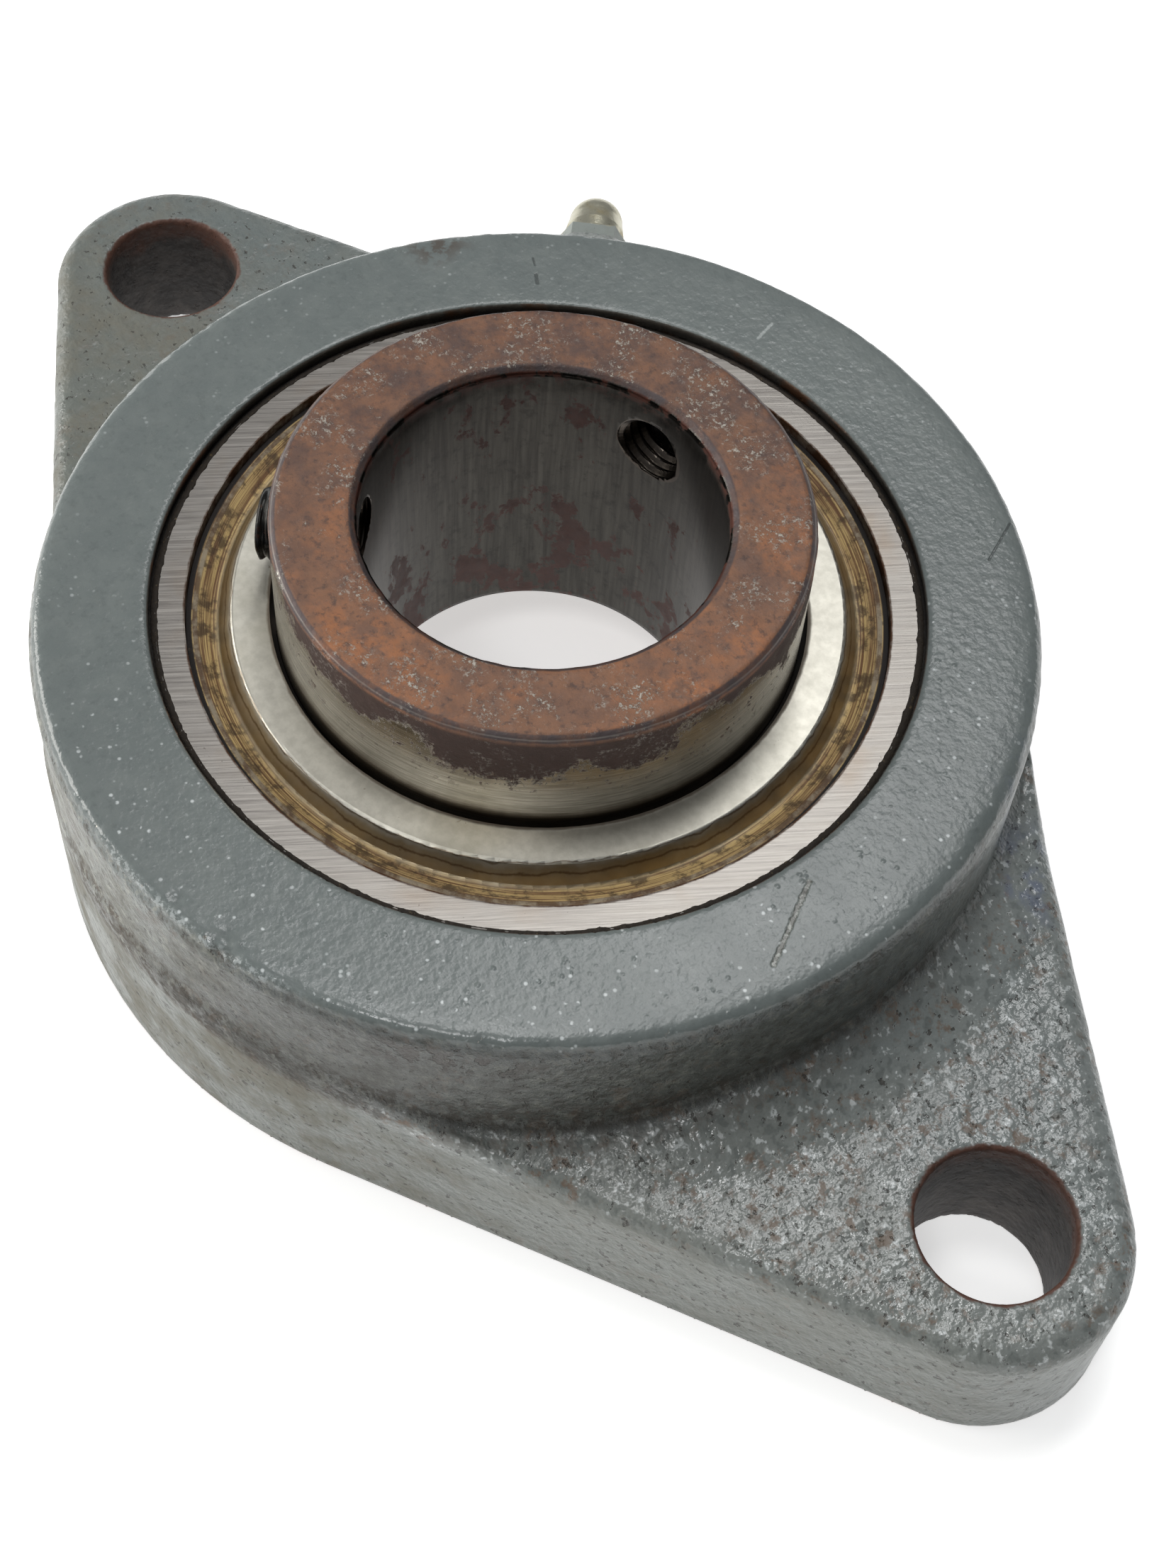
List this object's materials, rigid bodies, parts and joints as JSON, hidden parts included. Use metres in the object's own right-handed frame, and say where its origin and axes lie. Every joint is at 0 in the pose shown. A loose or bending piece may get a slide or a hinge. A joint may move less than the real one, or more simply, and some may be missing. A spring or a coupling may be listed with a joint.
{
  "type": "flange bearing unit",
  "caption": "Two-bolt flange bearing unit: cast housing with a self-aligning wide-ring ball insert, set screws and grease nipple.",
  "frame": {"origin": "shaft axis at the mounting face", "axes": "+Z along the shaft away from the mounting face, +X from the shaft axis to one bolt hole"},
  "size_m": [0.1542, 0.0906, 0.0415],
  "materials": {
    "grey_paint": "grey-blue paint over rough cast iron, chipped and specked with rust",
    "plated_steel": "dull zinc plate",
    "bright_steel": "polished hard steel",
    "ground_steel": "ground hard steel with parallel grain",
    "rusty_steel": "steel with rusty front face and bore",
    "pressed_steel": "pressed sheet steel with brown stains",
    "black_rubber": "nitrile rubber",
    "cage_steel": "pressed strip steel",
    "black_screw_steel": "blackened steel"
  },
  "bodies": {
    "housing": {"housing": "grey_paint", "grease_nipple": "plated_steel", "nipple_spring": "bright_steel"},
    "nipple_valve": {"nipple_check_ball": "bright_steel"},
    "insert": {"outer_ring": "ground_steel", "front_shield": "pressed_steel", "back_shield": "pressed_steel", "front_seal": "black_rubber", "back_seal": "black_rubber"},
    "inner_ring": {"inner_ring": "rusty_steel"},
    "cage": {"cage_front": "cage_steel", "cage_back": "cage_steel", "cage_rivets": "cage_steel"},
    "set_screw_1": {"set_screw_1": "black_screw_steel"},
    "set_screw_2": {"set_screw_2": "black_screw_steel"},
    "ball_1": {"ball_1": "bright_steel"},
    "ball_2": {"ball_2": "bright_steel"},
    "ball_3": {"ball_3": "bright_steel"},
    "ball_4": {"ball_4": "bright_steel"},
    "ball_5": {"ball_5": "bright_steel"},
    "ball_6": {"ball_6": "bright_steel"},
    "ball_7": {"ball_7": "bright_steel"},
    "ball_8": {"ball_8": "bright_steel"},
    "ball_9": {"ball_9": "bright_steel"}
  },
  "joints": [
    {"name": "insert_swivel", "type": "hinge", "parent": "housing", "child": "insert", "pos_m": [0, 0, 0.019], "axis": [0, 1, 0], "range_deg": [-2, 2]},
    {"name": "inner_ring_spin", "type": "hinge", "parent": "insert", "child": "inner_ring", "pos_m": [0, 0, 0.019], "axis": [0, 0, 1], "continuous": true},
    {"name": "cage_spin", "type": "hinge", "parent": "insert", "child": "cage", "pos_m": [0, 0, 0.019], "axis": [0, 0, 1], "continuous": true},
    {"name": "screw_1_drive", "type": "slide", "parent": "inner_ring", "child": "set_screw_1", "axis": [-0.2756, 0.9613, 0], "range_m": [-0.0024, 0.002]},
    {"name": "screw_2_drive", "type": "slide", "parent": "inner_ring", "child": "set_screw_2", "axis": [-0.6947, -0.7193, 0], "range_m": [-0.0024, 0.002]},
    {"name": "nipple_valve_slide", "type": "slide", "parent": "housing", "child": "nipple_valve", "axis": [0.7373, -0.6756, 0], "range_m": [0, 0.0004], "stiffness_N_per_m": 200, "springref_m": -0.001, "deforming": ["nipple_spring"]},
    {"name": "ball_1_roll", "type": "hinge", "parent": "cage", "child": "ball_1", "pos_m": [0.02675, 0, 0.019], "axis": [0, 0, 1], "continuous": true},
    {"name": "ball_2_roll", "type": "hinge", "parent": "cage", "child": "ball_2", "pos_m": [0.02049, 0.01719, 0.019], "axis": [0, 0, 1], "continuous": true},
    {"name": "ball_3_roll", "type": "hinge", "parent": "cage", "child": "ball_3", "pos_m": [0.00464, 0.02634, 0.019], "axis": [0, 0, 1], "continuous": true},
    {"name": "ball_4_roll", "type": "hinge", "parent": "cage", "child": "ball_4", "pos_m": [-0.01337, 0.02317, 0.019], "axis": [0, 0, 1], "continuous": true},
    {"name": "ball_5_roll", "type": "hinge", "parent": "cage", "child": "ball_5", "pos_m": [-0.02514, 0.00915, 0.019], "axis": [0, 0, 1], "continuous": true},
    {"name": "ball_6_roll", "type": "hinge", "parent": "cage", "child": "ball_6", "pos_m": [-0.02514, -0.00915, 0.019], "axis": [0, 0, 1], "continuous": true},
    {"name": "ball_7_roll", "type": "hinge", "parent": "cage", "child": "ball_7", "pos_m": [-0.01337, -0.02317, 0.019], "axis": [0, 0, 1], "continuous": true},
    {"name": "ball_8_roll", "type": "hinge", "parent": "cage", "child": "ball_8", "pos_m": [0.00464, -0.02634, 0.019], "axis": [0, 0, 1], "continuous": true},
    {"name": "ball_9_roll", "type": "hinge", "parent": "cage", "child": "ball_9", "pos_m": [0.02049, -0.01719, 0.019], "axis": [0, 0, 1], "continuous": true}
  ],
  "couplings": [
    {"joint": "cage_spin", "follows": "inner_ring_spin", "ratio": 0.39615},
    {"joint": "ball_1_roll", "follows": "inner_ring_spin", "ratio": -2.3033},
    {"joint": "ball_2_roll", "follows": "inner_ring_spin", "ratio": -2.3033},
    {"joint": "ball_3_roll", "follows": "inner_ring_spin", "ratio": -2.3033},
    {"joint": "ball_4_roll", "follows": "inner_ring_spin", "ratio": -2.3033},
    {"joint": "ball_5_roll", "follows": "inner_ring_spin", "ratio": -2.3033},
    {"joint": "ball_6_roll", "follows": "inner_ring_spin", "ratio": -2.3033},
    {"joint": "ball_7_roll", "follows": "inner_ring_spin", "ratio": -2.3033},
    {"joint": "ball_8_roll", "follows": "inner_ring_spin", "ratio": -2.3033},
    {"joint": "ball_9_roll", "follows": "inner_ring_spin", "ratio": -2.3033}
  ]
}
